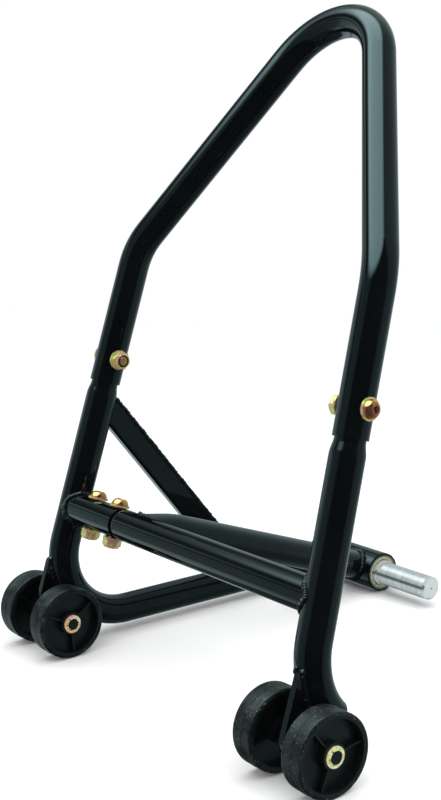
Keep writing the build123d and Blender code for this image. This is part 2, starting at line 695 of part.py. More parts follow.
# ---- fasteners: each plane's normal runs from the nut to the bolt head --------------------
HEAD_SEAT = TUBE_R + WASHER_THICK
NUT_SEAT = -TUBE_R - WASHER_THICK
NUT_BEVEL_SLOPE = 0.6
COLLAR_R = NUT_FLATS / 2 - 0.4
COLLAR_BEVEL = 1.0
INSERT_START = NUT_HEX_HIGH - 0.2
HOOP_BOLTS = [
    Plane(up_leg(leg, HOOP_BOLT_UP), x_dir=leg.x_dir, z_dir=leg.z_dir * side)
    for side, leg in ((-1, LEFT_LEG), (1, RIGHT_LEG))
]
CROSS_BOLTS = [Plane(stand_point(x, 0, CROSS_UP), x_dir=(1, 0, 0), z_dir=UP) for x in CROSS_BOLT_XS]


def add_bolt(plane):
    """A button-head socket screw."""
    head_r = HEAD_D / 2
    rim = HEAD_SEAT + HEAD_RIM
    crown = HEAD_SEAT + HEAD_HIGH
    with BuildSketch(lathe(plane)) as outline:
        with BuildLine():
            Polyline((0, HEAD_SEAT), (head_r, HEAD_SEAT), (head_r, rim))
            Spline((head_r, rim), (HEAD_FLAT_R, crown), tangents=[(-0.5, 1), (-1, 0.2)])
            Polyline((HEAD_FLAT_R, crown), (0, crown), (0, HEAD_SEAT))
        make_face()
    revolve(outline.sketch, axis=Axis(plane.origin, plane.z_dir))
    shank_end = HEAD_SEAT - BOLT_LENGTH
    turn(
        plane,
        [
            (0, HEAD_SEAT),
            (BOLT_D / 2, HEAD_SEAT),
            (BOLT_D / 2, shank_end + THREAD_BEVEL),
            (BOLT_D / 2 - THREAD_BEVEL, shank_end),
            (0, shank_end),
        ],
    )
    with BuildSketch(plane.offset(crown)) as socket:
        RegularPolygon(KEY_SIZE / 2, 6, major_radius=False)
    extrude(socket.sketch, amount=-SOCKET_DEEP, mode=Mode.SUBTRACT)


def add_washer(plane, start, diameter, thick, bore_d):
    """A flat ring on a plane's normal, starting at a height."""
    with BuildSketch(plane.offset(start)) as ring:
        Circle(diameter / 2)
        Circle(bore_d / 2, mode=Mode.SUBTRACT)
    extrude(ring.sketch, amount=thick)


def nut_plane(plane):
    """A nut's seat on its washer, facing away from the bolt's head."""
    return Plane(plane.origin, x_dir=plane.x_dir, z_dir=-plane.z_dir).offset(-NUT_SEAT)


def add_nut(plane):
    """A hexagon lock nut with a round collar for its insert."""
    seat = nut_plane(plane)
    with BuildSketch(seat) as hexagon:
        RegularPolygon(NUT_FLATS / 2, 6, major_radius=False)
    extrude(hexagon.sketch, amount=NUT_HEX_HIGH)
    beyond_corners = NUT_FLATS / 2 / cos(radians(30)) + 1
    bevel_high = (beyond_corners - NUT_FLATS / 2) * NUT_BEVEL_SLOPE
    for height, inwards in ((0, 1), (NUT_HEX_HIGH, -1)):
        turn(
            seat,
            [
                (NUT_FLATS / 2, height),
                (beyond_corners, height),
                (beyond_corners, height + inwards * bevel_high),
            ],
            mode=Mode.SUBTRACT,
        )
    turn(
        seat,
        [
            (INSERT_D / 2, INSERT_START),
            (COLLAR_R, INSERT_START),
            (COLLAR_R, NUT_HIGH - COLLAR_BEVEL),
            (COLLAR_R - COLLAR_BEVEL, NUT_HIGH),
            (INSERT_D / 2, NUT_HIGH),
        ],
    )
    bore(seat, BOLT_D / 2, 0, NUT_HIGH)
    bore(seat, INSERT_D / 2, INSERT_START, NUT_HIGH)


def add_insert(plane):
    """The nylon ring inside a lock nut's collar."""
    add_washer(nut_plane(plane), INSERT_START, INSERT_D, NUT_HIGH - NUT_HEX_HIGH, BOLT_D)


def fastener_set(group, planes):
    """Bolts, flat washers, nuts and nut inserts for one group of bolts."""
    with BuildPart() as bolts:
        for plane in planes:
            add_bolt(plane)
    finish(bolts.part, f"{group}_bolts")
    with BuildPart() as washers:
        for plane in planes:
            add_washer(plane, TUBE_R, WASHER_D, WASHER_THICK, BOLT_HOLE_D)
            add_washer(plane, NUT_SEAT, WASHER_D, WASHER_THICK, BOLT_HOLE_D)
    finish(washers.part, f"{group}_flat_washers")
    with BuildPart() as nuts:
        for plane in planes:
            add_nut(plane)
    finish(nuts.part, f"{group}_nuts")
    with BuildPart() as inserts:
        for plane in planes:
            add_insert(plane)
    finish(inserts.part, f"{group}_nut_inserts")


fastener_set("hoop", HOOP_BOLTS)
fastener_set("cross", CROSS_BOLTS)
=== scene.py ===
"""Looks for the single-sided paddock stand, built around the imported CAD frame.

Metres, +Z up, in the frame's own axes. The CAD nodes are shown as they are, apart from the screws,
which finer meshes stand for. This script also adds the weld beads, gives every node its finish, and
lights the stand.
"""
from functools import partial
import json
from math import cos, pi, radians, sin, tau
import random

import bmesh
import bpy
from mathutils import Matrix, Vector
from mathutils.bvhtree import BVHTree
import numpy as np


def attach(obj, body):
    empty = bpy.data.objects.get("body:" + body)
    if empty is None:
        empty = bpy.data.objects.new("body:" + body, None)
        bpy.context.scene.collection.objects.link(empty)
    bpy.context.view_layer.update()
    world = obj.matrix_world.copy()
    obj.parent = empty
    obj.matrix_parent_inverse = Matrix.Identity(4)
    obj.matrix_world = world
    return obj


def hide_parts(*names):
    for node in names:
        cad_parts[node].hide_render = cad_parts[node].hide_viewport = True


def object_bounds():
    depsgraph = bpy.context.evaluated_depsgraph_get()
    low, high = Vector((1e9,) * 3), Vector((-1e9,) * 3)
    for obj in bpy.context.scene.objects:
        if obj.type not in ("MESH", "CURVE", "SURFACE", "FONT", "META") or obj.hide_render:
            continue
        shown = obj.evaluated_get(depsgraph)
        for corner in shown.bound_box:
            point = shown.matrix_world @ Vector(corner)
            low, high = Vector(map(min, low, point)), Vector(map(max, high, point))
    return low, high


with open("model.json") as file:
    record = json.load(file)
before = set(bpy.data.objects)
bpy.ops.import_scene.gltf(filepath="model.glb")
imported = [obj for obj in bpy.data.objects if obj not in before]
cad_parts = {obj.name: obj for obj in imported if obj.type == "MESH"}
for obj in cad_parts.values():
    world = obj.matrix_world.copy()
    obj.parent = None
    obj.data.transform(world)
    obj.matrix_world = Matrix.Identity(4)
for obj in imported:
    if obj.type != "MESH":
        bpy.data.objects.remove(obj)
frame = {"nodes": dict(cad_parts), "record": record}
CAD_LOW, CAD_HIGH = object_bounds()
CAD_MIDDLE = (CAD_LOW + CAD_HIGH) / 2
MM = 0.001
scene = bpy.context.scene


# ---- node-tree helper ----------------------------------------------------------------------
class Look:
    """A procedural material under construction, with short calls for the nodes it uses."""

    def __init__(self, name):
        self.material = bpy.data.materials.new(name)
        self.material.use_nodes = True
        self.tree = self.material.node_tree
        self.shader = self.tree.nodes["Principled BSDF"]
        self.place = self.node("ShaderNodeTexCoord").outputs["Object"]

    def node(self, kind, **settings):
        """Add a node and apply its settings."""
        made = self.tree.nodes.new(kind)
        for key, value in settings.items():
            setattr(made, key, value)
        return made

    def feed(self, socket, value):
        """Link a socket, or set its value if it is given a plain one."""
        if isinstance(value, bpy.types.NodeSocket):
            self.tree.links.new(value, socket)
        else:
            socket.default_value = value

    def set(self, **values):
        """Set the shader's inputs: underscores stand for spaces, as in base_color."""
        for key, value in values.items():
            wanted = key.replace("_", " ").lower()
            socket = next(s for s in self.shader.inputs if s.name.lower() == wanted)
            self.feed(socket, value)

    def maths(self, operation, first, second=0.0, clamp=False):
        made = self.node("ShaderNodeMath", operation=operation, use_clamp=clamp)
        self.feed(made.inputs[0], first)
        self.feed(made.inputs[1], second)
        return made.outputs[0]

    def stretch(self, x=1.0, y=1.0, z=1.0):
        """Object coordinates with each axis scaled."""
        made = self.node("ShaderNodeMapping")
        self.feed(made.inputs["Vector"], self.place)
        made.inputs["Scale"].default_value = (x, y, z)
        return made.outputs[0]

    def noise(self, scale, detail=3.0, roughness=0.55, distortion=0.0, place=None):
        made = self.node("ShaderNodeTexNoise")
        self.feed(made.inputs["Vector"], place or self.place)
        made.inputs["Scale"].default_value = scale
        made.inputs["Detail"].default_value = detail
        made.inputs["Roughness"].default_value = roughness
        made.inputs["Distortion"].default_value = distortion
        return made.outputs["Fac"]

    def cells(self, scale, place=None):
        made = self.node("ShaderNodeTexVoronoi")
        self.feed(made.inputs["Vector"], place or self.place)
        made.inputs["Scale"].default_value = scale
        return made.outputs["Distance"]

    def ramp(self, value, *stops, smooth=False):
        """A colour ramp of (position, colour or grey) stops."""
        made = self.node("ShaderNodeValToRGB")
        band = made.color_ramp
        band.interpolation = "EASE" if smooth else "LINEAR"
        while len(band.elements) < len(stops):
            band.elements.new(1.0)
        for element, (position, colour) in zip(band.elements, stops):
            element.position = position
            grey = isinstance(colour, (int, float))
            element.color = (colour, colour, colour, 1) if grey else (*colour, 1)
        self.feed(made.inputs["Fac"], value)
        return made.outputs["Color"]

    def blend(self, factor, first, second, mode="MIX"):
        """Two colours put together by one of Blender's blend modes."""
        made = self.node("ShaderNodeMix", data_type="RGBA", blend_type=mode)
        self.feed(made.inputs["Factor"], factor)
        for socket, value in ((made.inputs[6], first), (made.inputs[7], second)):
            is_colour = isinstance(value, tuple)
            self.feed(socket, (*value, 1) if is_colour else value)
        return made.outputs[2]

    def eased(self, value, start, end, first=0.0, last=1.0):
        """A smooth step from a first level to a last one, as a value goes from start to end."""
        made = self.node("ShaderNodeMapRange", interpolation_type="SMOOTHSTEP")
        self.feed(made.inputs["Value"], value)
        made.inputs["From Min"].default_value = start
        made.inputs["From Max"].default_value = end
        made.inputs["To Min"].default_value = first
        made.inputs["To Max"].default_value = last
        return made.outputs[0]

    def parts_of(self, vector):
        """The X, Y and Z outputs of a vector."""
        made = self.node("ShaderNodeSeparateXYZ")
        self.feed(made.inputs[0], vector)
        return made.outputs

    def bump(self, height, depth, below=None):
        """Bumps of a depth in metres, on top of another bump's normal."""
        made = self.node("ShaderNodeBump")
        made.inputs["Strength"].default_value = 1.0
        made.inputs["Distance"].default_value = depth
        self.feed(made.inputs["Height"], height)
        if below is not None:
            self.feed(made.inputs["Normal"], below)
        return made.outputs["Normal"]

    def edges(self, radius):
        """How much the surface turns within a radius: 0 on flats, about 0.3 on a square edge."""
        rounded = self.node("ShaderNodeBevel", samples=4)
        rounded.inputs["Radius"].default_value = radius
        true_normal = self.node("ShaderNodeNewGeometry").outputs["Normal"]
        dot = self.node("ShaderNodeVectorMath", operation="DOT_PRODUCT")
        self.feed(dot.inputs[0], rounded.outputs["Normal"])
        self.feed(dot.inputs[1], true_normal)
        return self.maths("SUBTRACT", 1.0, dot.outputs["Value"], clamp=True)


# ---- materials -----------------------------------------------------------------------------
def gloss_black_paint():
    """Baked black enamel: deep and glossy, with orange peel, faint smears and thin worn edges."""
    look = Look("gloss_black_paint")
    smears = look.noise(14, 5, 0.6, 0.4)
    dust = look.noise(900, 2, 0.7)
    tone = look.ramp(smears, (0.35, (0.0020, 0.0027, 0.0029)), (0.7, (0.0032, 0.0040, 0.0043)))
    worn = look.ramp(look.edges(0.5 * MM), (0.03, 0.0), (0.35, 0.75))
    chipped = look.maths("MULTIPLY", worn, look.ramp(look.noise(260, 4), (0.5, 0.0), (0.62, 1.0)))
    haze = look.maths("MULTIPLY", look.ramp(smears, (0.45, 0.0), (0.75, 1.0)), 0.035)
    look.set(
        base_color=look.blend(chipped, tone, (0.05, 0.055, 0.058)),
        roughness=look.maths("ADD", haze, look.maths("MULTIPLY", dust, 0.03)),
        ior=1.52,
        specular_tint=(0.76, 1.0, 1.03, 1.0),
        normal=look.bump(look.noise(150, 2, 0.5), 0.003 * MM, below=look.bump(smears, 0.05 * MM)),
    )
    return look.material


def weld_paint():
    """The same enamel where it pools over weld beads."""
    look = Look("weld_paint")
    pools = look.noise(420, 4, 0.6, 0.6)
    look.set(
        base_color=look.ramp(pools, (0.3, (0.002, 0.0026, 0.0028)), (0.8, (0.006, 0.007, 0.0075))),
        roughness=look.ramp(pools, (0.3, 0.07), (0.7, 0.20)),
        specular_tint=(0.85, 1.0, 1.04, 1.0),
        normal=look.bump(look.noise(700, 3, 0.6), 0.06 * MM),
    )
    return look.material


def zinc(name, tints, roughness, grey, drift=0.0):
    """Yellow passivated zinc: its film drifts through a list of tints from place to place.

    On the stand's right half (+X), a drift also moves the tints on by that many rounds per metre.
    """
    look = Look(name)
    facing = look.node("ShaderNodeLayerWeight")
    facing.inputs["Blend"].default_value = 0.4
    film = look.maths("MULTIPLY", look.noise(110, 3, 0.55, 0.9), 1.5)
    film = look.maths("ADD", film, look.maths("MULTIPLY", facing.outputs["Facing"], 0.45))
    rightwards = look.maths("MAXIMUM", look.parts_of(look.place)["X"], 0.0)
    film = look.maths("FRACT", look.maths("ADD", film, look.maths("MULTIPLY", rightwards, drift)))
    stops = [(i / len(tints), tint) for i, tint in enumerate(tints)]
    colour = look.ramp(film, *stops, (1.0, tints[0]))
    grime = look.ramp(look.noise(420, 4, 0.7), (0.30, 0.45), (0.58, 1.0))
    look.set(
        base_color=look.blend(0.5, colour, grime, "MULTIPLY"),
        metallic=1.0 - grey,
        roughness=look.ramp(look.noise(260, 4), (0.3, roughness), (0.75, roughness + 0.14)),
        normal=look.bump(look.noise(1500, 3, 0.6), 0.012 * MM),
    )
    return look.material


def turned_steel(name, end_tone):
    """Bright steel turned on a lathe about the X axis, with fine rings, smudges and fine scratches.

    Its colour holds a painted reflection: a studio's panels and the dark gap between them lie along it
    as bands, told by how far each point faces up. They stay where they are when the steel turns. Its
    ends have their own tone.
    """
    look = Look(name)
    facing = look.parts_of(look.node("ShaderNodeNewGeometry").outputs["Normal"])
    wobble = look.maths("MULTIPLY", look.noise(1, 3, 0.6, place=look.stretch(50, 400, 400)), 0.03)
    upward = look.maths("MULTIPLY", look.maths("ADD", facing["Z"], 1.0), 0.5)
    # painted reflection: bright panels and a dark gap as bands of colour, by how far the surface faces
    # up
    panels = look.ramp(
        look.maths("ADD", upward, wobble),
        (0.04, (0.16, 0.22, 0.22)),
        (0.19, (0.50, 0.56, 0.56)),
        (0.30, (0.74, 0.80, 0.80)),
        (0.47, (0.66, 0.73, 0.73)),
        (0.55, (0.44, 0.52, 0.52)),
        (0.575, (0.11, 0.145, 0.15)),
        (0.60, (0.10, 0.13, 0.135)),
        (0.615, (0.24, 0.29, 0.29)),
        (0.63, (0.12, 0.15, 0.155)),
        (0.66, (0.16, 0.20, 0.20)),
        (0.70, (0.60, 0.63, 0.63)),
        (0.80, (0.58, 0.60, 0.60)),
        (0.97, (0.46, 0.49, 0.49)),
    )
    rings = look.noise(1, 4, 0.7, place=look.stretch(9000, 60, 60))
    bands = look.ramp(look.noise(1, 3, 0.6, place=look.stretch(300, 25, 25)), (0.38, 0.82), (0.60, 1.0))
    scuffs = look.noise(1, 5, 0.75, 1.2, place=look.stretch(60, 620, 620))
    marks = look.ramp(scuffs, (0.62, 0.0), (0.78, 0.30))
    smudge = look.noise(90, 4, 0.6, 0.8)
    # the painted reflection on the sides, with the lathe's bands on it; the ends keep their own tone
    side = look.blend(1.0, panels, bands, "MULTIPLY")
    is_end = look.ramp(look.maths("ABSOLUTE", facing["X"]), (0.85, 0.0), (0.97, 1.0))
    painted_reflection_and_ends = look.blend(is_end, side, end_tone)
    look.set(
        base_color=look.blend(marks, painted_reflection_and_ends, (0.30, 0.33, 0.33)),
        metallic=0.35,
        roughness=look.ramp(smudge, (0.3, 0.16), (0.75, 0.30)),
        normal=look.bump(rings, 0.0008 * MM),
    )
    return look.material


def tyre_rubber():
    """Dull grey-black rubber, scuffed and dusty in patches, with pale specks and a fine grain."""
    look = Look("tyre_rubber")
    patches = look.noise(46, 6, 0.66, 0.9)
    streaks = look.noise(1, 4, 0.7, 0.3, place=look.stretch(700, 60, 60))
    grain = look.noise(1700, 3, 0.7)
    specks = look.ramp(look.cells(400), (0.0, 1.0), (0.26, 0.0))
    dusty = look.ramp(patches, (0.42, 0.0), (0.60, 1.0))
    scuffed = look.ramp(patches, (0.36, (0.0024, 0.0036, 0.0039)), (0.70, (0.010, 0.0145, 0.0155)))
    streaked = look.blend(look.ramp(streaks, (0.52, 0.0), (0.72, 0.5)), scuffed, (0.020, 0.025, 0.026))
    look.set(
        base_color=look.blend(look.maths("MULTIPLY", specks, dusty), streaked, (0.22, 0.25, 0.25)),
        roughness=look.ramp(patches, (0.3, 0.28), (0.75, 0.52)),
        specular_ior_level=look.ramp(patches, (0.35, 0.18), (0.7, 0.42)),
        normal=look.bump(grain, 0.03 * MM, below=look.bump(patches, 0.22 * MM)),
    )
    return look.material


def moulded_plastic(name, shine):
    """Black injection-moulded plastic with a faint spark-eroded grain and paler handled edges."""
    look = Look(name)
    flow = look.noise(28, 4, 0.55, 1.0)
    worn = look.ramp(look.edges(0.4 * MM), (0.03, 0.0), (0.35, 0.6))
    tone = look.ramp(flow, (0.35, (0.0036, 0.0044, 0.0047)), (0.7, (0.0056, 0.0066, 0.0070)))
    look.set(
        base_color=look.blend(worn, tone, (0.020, 0.023, 0.024)),
        roughness=look.ramp(flow, (0.3, shine), (0.75, shine + 0.14)),
        specular_tint=(0.82, 1.0, 1.04, 1.0),
        normal=look.bump(look.noise(1300, 3, 0.6), 0.016 * MM),
    )
    return look.material


# Tints of the zinc's film.
GOLD = (0.95, 0.62, 0.16)
COPPER = (0.88, 0.34, 0.12)
PINK = (0.86, 0.38, 0.42)
ROSE = (0.97, 0.52, 0.42)
STRAW = (0.88, 0.80, 0.32)
OLIVE = (0.80, 0.72, 0.42)
LIME = (0.60, 0.72, 0.18)
PALE = (0.92, 0.90, 0.72)

BOLT_ZINC = zinc("bolt_zinc", [GOLD, COPPER, ROSE, PINK, COPPER], 0.10, 0.06)
NUT_ZINC = zinc("nut_zinc", [STRAW, LIME, GOLD, STRAW, PINK, STRAW], 0.17, 0.30)
RETAINER_TINTS = [PALE, STRAW, LIME, PALE, GOLD, PINK]
FINISHES = {
    "gloss_black_paint": gloss_black_paint(),
    "black_plastic": moulded_plastic("black_plastic", 0.34),
    "hub_plastic": moulded_plastic("hub_plastic", 0.27),
    "tyre_rubber": tyre_rubber(),
    "yellow_zinc": NUT_ZINC,
    "bright_steel": turned_steel("bright_steel", (0.60, 0.66, 0.66)),
    "nylon": moulded_plastic("nylon", 0.40),
}

# Nodes that differ a little from the rest of their slot.
OWN_FINISHES = {
    "axle_retainers": zinc("retainer_zinc", RETAINER_TINTS, 0.20, 0.55, drift=1.9),
    "bearing_end_rings": zinc("ring_zinc", [OLIVE, PALE, OLIVE, STRAW], 0.22, 0.45),
    "bearing_outer_rings": turned_steel("bearing_steel", (0.16, 0.20, 0.20)),
}


def dress_nodes():
    """Give each CAD node its own finish, or else its slot's."""
    slots = {entry["node"]: entry["material_slot"] for entry in frame["record"]["subparts"]}
    for name, node in frame["nodes"].items():
        finish = OWN_FINISHES.get(name, FINISHES[slots[name]])
        for slot in node.material_slots:
            slot.material = finish


# ---- weld beads ----------------------------------------------------------------------------
RIPPLE_PITCH = 1.9 * MM         # from one solidified puddle to the next
RIPPLE_STEPS = 5                # rings of the mesh per puddle
PUDDLE_SWELL = (0.84, 1.16)     # smallest and largest puddle, as parts of the bead's radius
PUDDLE_LEAN = (-0.22, 0.22)     # how far a puddle strays sideways, as parts of the radius
PUDDLE_EDGE = 0.78              # girth between two puddles, as a part of the radius
PUDDLE_DOME = 0.30              # and how much it rises at a puddle's middle
BEAD_SIDES = 12
BLOB_LUMPS = 9
BLOB_CORE = 0.82                # a deposit's size between its lumps, as a part of its radius
BLOB_RISE = (0.10, 0.30)        # how far its lumps stand out of that, as parts of its radius
BLOB_SHARPNESS = 8              # a higher number makes narrower lumps
SEEDS_PER_WELD = 10             # each weld has its own random draws: its beads first
FIRST_BLOB_SEED = 5             # and from here on its lumps
ON_SURFACE = 0.09 * MM          # a coped end lies this close to the tube it meets
SAME_CORNER = 0.001 * MM        # corners this close together are one
FEWEST_POINTS = 8               # even the shortest seam has this many


def joined_mesh(node):
    """A CAD node's mesh with its split seams joined, for finding shapes on it."""
    mesh = bmesh.new()
    mesh.from_mesh(frame["nodes"][node].data)
    bmesh.ops.remove_doubles(mesh, verts=mesh.verts, dist=SAME_CORNER)
    return mesh


def seam_loops(node, other):
    """The closed lines where a node's end meets another node, longest first.

    What is left to walk is kept in a dictionary, in the mesh's own order. A set of edges would
    come out in a different order each run, and the weld puddles would move with it.
    """
    mesh = joined_mesh(node)
    target = joined_mesh(other)
    surface = BVHTree.FromBMesh(target)
    near = {v for v in mesh.verts if (surface.find_nearest(v.co, 1.0)[3] or 0) < ON_SURFACE}
    ends = {f for f in mesh.faces if all(v in near for v in f.verts)}
    rim = [e for e in mesh.edges if sum(f in ends for f in e.link_faces) == 1]
    following = {}
    for edge in rim:
        for vert in edge.verts:
            following.setdefault(vert, []).append(edge)
    loops = []
    left = dict.fromkeys(rim)
    while left:
        edge = next(iter(left))
        del left[edge]
        start, vert = edge.verts
        line = [start.co.copy(), vert.co.copy()]
        while True:
            step = next((e for e in following[vert] if e in left), None)
            if step is None:
                break
            del left[step]
            vert = step.other_vert(vert)
            line.append(vert.co.copy())
        if len(line) > 3:
            loops.append(line)
    mesh.free()
    target.free()
    return sorted(loops, key=line_length, reverse=True)


def line_length(line):
    """The length of an open line through points."""
    return sum((b - a).length for a, b in zip(line, line[1:]))


def even_line(line, step):
    """The same line with its points a fixed step apart, rounded to close evenly."""
    total = line_length(line)
    count = max(FEWEST_POINTS, round(total / step))
    gap = total / count
    points, walked, index = [], 0.0, 0
    for number in range(count):
        goal = number * gap
        while walked + (line[index + 1] - line[index]).length < goal:
            walked += (line[index + 1] - line[index]).length
            index += 1
        piece = line[index + 1] - line[index]
        points.append(line[index] + piece * ((goal - walked) / max(piece.length, 1e-9)))
    return points


def smooth_line(points, rounds):
    """Ease the corners of a closed line."""
    for _ in range(rounds):
        count = len(points)
        points = [(points[i - 1] + points[i] * 2 + points[(i + 1) % count]) / 4 for i in range(count)]
    return points


def bead_mesh(name, points, radius, seed):
    """A closed tube along a line, swelling and shrinking like overlapping weld puddles."""
    draw = random.Random(seed)
    count = len(points)
    puddles = count // RIPPLE_STEPS + 2
    swell = [draw.uniform(*PUDDLE_SWELL) for _ in range(puddles)]
    lean = [draw.uniform(*PUDDLE_LEAN) for _ in range(puddles)]
    mesh = bmesh.new()
    rings = []
    for i, point in enumerate(points):
        ahead = (points[(i + 1) % count] - points[i - 1]).normalized()
        side = ahead.orthogonal().normalized()
        rise = ahead.cross(side)
        puddle, step = divmod(i, RIPPLE_STEPS)
        dome = sin(pi * (step + 0.5) / RIPPLE_STEPS)
        girth = radius * swell[puddle] * (PUDDLE_EDGE + PUDDLE_DOME * dome)
        middle = point + side * (lean[puddle] * radius)
        ring = []
        for k in range(BEAD_SIDES):
            turn = tau * k / BEAD_SIDES
            ring.append(mesh.verts.new(middle + (side * cos(turn) + rise * sin(turn)) * girth))
        rings.append(ring)
    for ring, following in zip(rings, rings[1:] + rings[:1]):
        shift = closest_turn(ring, following)
        for k in range(BEAD_SIDES):
            after = (k + 1) % BEAD_SIDES
            a, b = following[(after + shift) % BEAD_SIDES], following[(k + shift) % BEAD_SIDES]
            mesh.faces.new((ring[k], ring[after], a, b))
    return finished_piece(name, mesh)


def blob_mesh(name, centre, radius, seed):
    """A lumpy closed deposit where a weld was started or stopped."""
    draw = random.Random(seed)
    lumps = [Vector([draw.uniform(-1, 1) for _ in range(3)]).normalized() for _ in range(BLOB_LUMPS)]
    heights = [draw.uniform(*BLOB_RISE) for _ in lumps]
    mesh = bmesh.new()
    bmesh.ops.create_icosphere(mesh, subdivisions=4, radius=1.0)
    for vert in mesh.verts:
        out = vert.co.normalized()
        size = BLOB_CORE
        for lump, height in zip(lumps, heights):
            size += height * max(0.0, out.dot(lump)) ** BLOB_SHARPNESS
        vert.co = centre + out * (size * radius)
    return finished_piece(name, mesh)


def finished_piece(name, mesh):
    """Turn a bmesh into a smooth-shaded object and free it."""
    bmesh.ops.recalc_face_normals(mesh, faces=mesh.faces)
    data = bpy.data.meshes.new(name)
    mesh.to_mesh(data)
    mesh.free()
    data.shade_smooth()
    piece = bpy.data.objects.new(name, data)
    scene.collection.objects.link(piece)
    return piece


def closest_turn(ring, following):
    """How far to turn the next ring's numbering so that the skin between them doesn't twist."""
    first = ring[0].co
    return min(range(BEAD_SIDES), key=lambda k: (following[k].co - first).length)


WELDS = [
    # name, the end that is welded, what it is welded to, bead radius in mm, how many loops to
    # follow, and how much their corners are eased
    ("weld_sleeve_to_left_leg", "cross_sleeve", "left_leg", 3.4, 1, 120),
    ("weld_cross_tube_to_right_leg", "cross_tube", "right_leg", 2.9, 1, 140),
    ("weld_stay_to_cross_tube", "stay_tube", "cross_tube", 2.0, 1, 120),
    ("weld_stay_to_housing", "stay_tube", "pin_housing", 3.2, 1, 40),
    ("weld_riser_to_housing", "left_leg", "pin_housing", 3.2, 1, 40),
    ("weld_brace_to_left_leg", "brace_tube", "left_leg", 2.4, 2, 20),
    ("weld_left_bracket_to_leg", "left_wheel_bracket", "left_leg", 2.4, 1, 8),
    ("weld_right_bracket_to_leg", "right_wheel_bracket", "right_leg", 2.4, 1, 8),
]
BLOBS = {
    # where a weld ends in a lump: the weld's name and the way to its lumps, with their radii in mm
    "weld_sleeve_to_left_leg": [((0.5, -0.3, 1), 4.2), ((0.9, 0.3, 0.8), 3.8)],
    "weld_left_bracket_to_leg": [((0, -0.2, 1), 4.2), ((1, -0.4, 0.9), 3.2)],
    "weld_right_bracket_to_leg": [((0, -0.2, 1), 4.4), ((1, -0.4, 0.9), 3.4)],
    "weld_stay_to_housing": [((1, -0.4, 0.3), 3.4)],
}
NOTCH_FILLS = {
    # a weld that fills a sharp notch, and how far it stops short of the notch's tips
    "weld_sleeve_to_left_leg": 7 * MM,
}


def fill_notch(points, amount):
    """Stop a seam short of the sharp notch at its low-X tips, where weld metal fills the corner."""
    limit = min(point.x for point in points) + amount
    return [Vector((max(point.x, limit), point.y, point.z)) for point in points]


def add_to_frame(piece, finish):
    """Give a weld its finish and let it ride on the frame, in the paint's slot."""
    piece.data.materials.append(finish)
    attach(piece, "frame")


def add_welds():
    """A rippled bead round each welded joint, found from where the CAD parts touch."""
    paint = weld_paint()
    step = RIPPLE_PITCH / RIPPLE_STEPS
    for seed, (name, node, other, radius, wanted, ease) in enumerate(WELDS):
        loops = seam_loops(node, other)[:wanted]
        for number, loop in enumerate(loops):
            points = smooth_line(fill_notch(even_line(loop, step), NOTCH_FILLS.get(name, 0)), ease)
            label = name if wanted == 1 else f"{name}_{number + 1}"
            own_seed = seed * SEEDS_PER_WELD + number
            add_to_frame(bead_mesh(label, points, radius * MM, own_seed), paint)
        for number, (way, size) in enumerate(BLOBS.get(name, [])):
            spot = max(loops[0], key=lambda point: point.dot(Vector(way)))
            label = f"{name}_lump_{number + 1}"
            own_seed = seed * SEEDS_PER_WELD + FIRST_BLOB_SEED + number
            add_to_frame(blob_mesh(label, spot, size * MM, own_seed), paint)


# ---- screws --------------------------------------------------------------------------------
ROUND_SIDES = 72                # a multiple of six, so that the key socket's corners are sharp
THREAD_PITCH = 1.5 * MM
THREAD_DEPTH = 0.75 * MM
THREADED = 12 * MM              # length of thread made at the end of the shank
THREAD_STEPS = 10               # rings of the mesh per turn of thread
DOME_STEPS = 14
DOME_SHOULDER = 0.30            # where the dome's curve turns, from its rim (0) to its crown (1)
DOME_FULLNESS = 0.86            # and how high, from its rim to its crown
KEY_APOTHEM = 3 * MM            # half of the key's width across its flats
KEY_DEPTH = 3.2 * MM
CROWN_FLAT = 3.9 * MM           # radius of the flat round the key socket
SOFT_EDGE = 0.35 * MM
SHARP_ANGLE = radians(40)       # edges that turn more than this stay crisp
END_DEPTH = 0.05 * MM           # corners this close to an end, or to the rim, belong to it


def separate_solids(node):
    """The corner points of each separate solid in a CAD node, as one array each."""
    mesh = joined_mesh(node)
    waiting = dict.fromkeys(mesh.verts)
    solids = []
    while waiting:
        seed = next(iter(waiting))
        del waiting[seed]
        island, edge_of_search = [seed], [seed]
        while edge_of_search:
            vert = edge_of_search.pop()
            for edge in vert.link_edges:
                other = edge.other_vert(vert)
                if other in waiting:
                    del waiting[other]
                    island.append(other)
                    edge_of_search.append(other)
        solids.append(np.array([vert.co for vert in island], float))
    mesh.free()
    return sorted(solids, key=lambda points: tuple(points.mean(axis=0)))


def about_axis(points, start, way):
    """How far each point lies along an axis from its start, and how far out from the axis."""
    along = (points - start) @ way
    outwards = np.linalg.norm(points - start - np.outer(along, way), axis=1)
    return along, outwards


def screw_line(points):
    """A screw's shank end and crown, as the middles of its two end faces."""
    middle = points.mean(axis=0)
    _, ways = np.linalg.eigh(np.cov((points - middle).T))
    along, outwards = about_axis(points, middle, ways[:, 2])
    low = points[along < along.min() + END_DEPTH].mean(axis=0)
    high = points[along > along.max() - END_DEPTH].mean(axis=0)
    head_is_high = outwards[along > 0].max() > outwards[along < 0].max()
    return (low, high) if head_is_high else (high, low)


def ring_of(mesh, height, radius):
    """A ring of corners about Z at a height. Its radius is a number or a function of the angle."""
    ring = []
    for k in range(ROUND_SIDES):
        angle = tau * k / ROUND_SIDES
        reach = radius(angle) if callable(radius) else radius
        ring.append(mesh.verts.new((reach * cos(angle), reach * sin(angle), height)))
    return ring


def hexagon_at(angle, apothem):
    """How far a hexagon's side is from its centre, at an angle."""
    return apothem / cos((angle % (tau / 6)) - tau / 12)


def thread_at(angle, height, shank_r):
    """The threaded end's radius: bevelled at the tip, and fading into the plain shank."""
    fade = min(1.0, (THREADED - height) / THREAD_PITCH)
    bevelled = shank_r - max(0.0, THREAD_DEPTH - height)
    phase = (height / THREAD_PITCH - angle / tau) % 1.0
    return min(bevelled, shank_r - THREAD_DEPTH * fade * abs(2 * phase - 1))


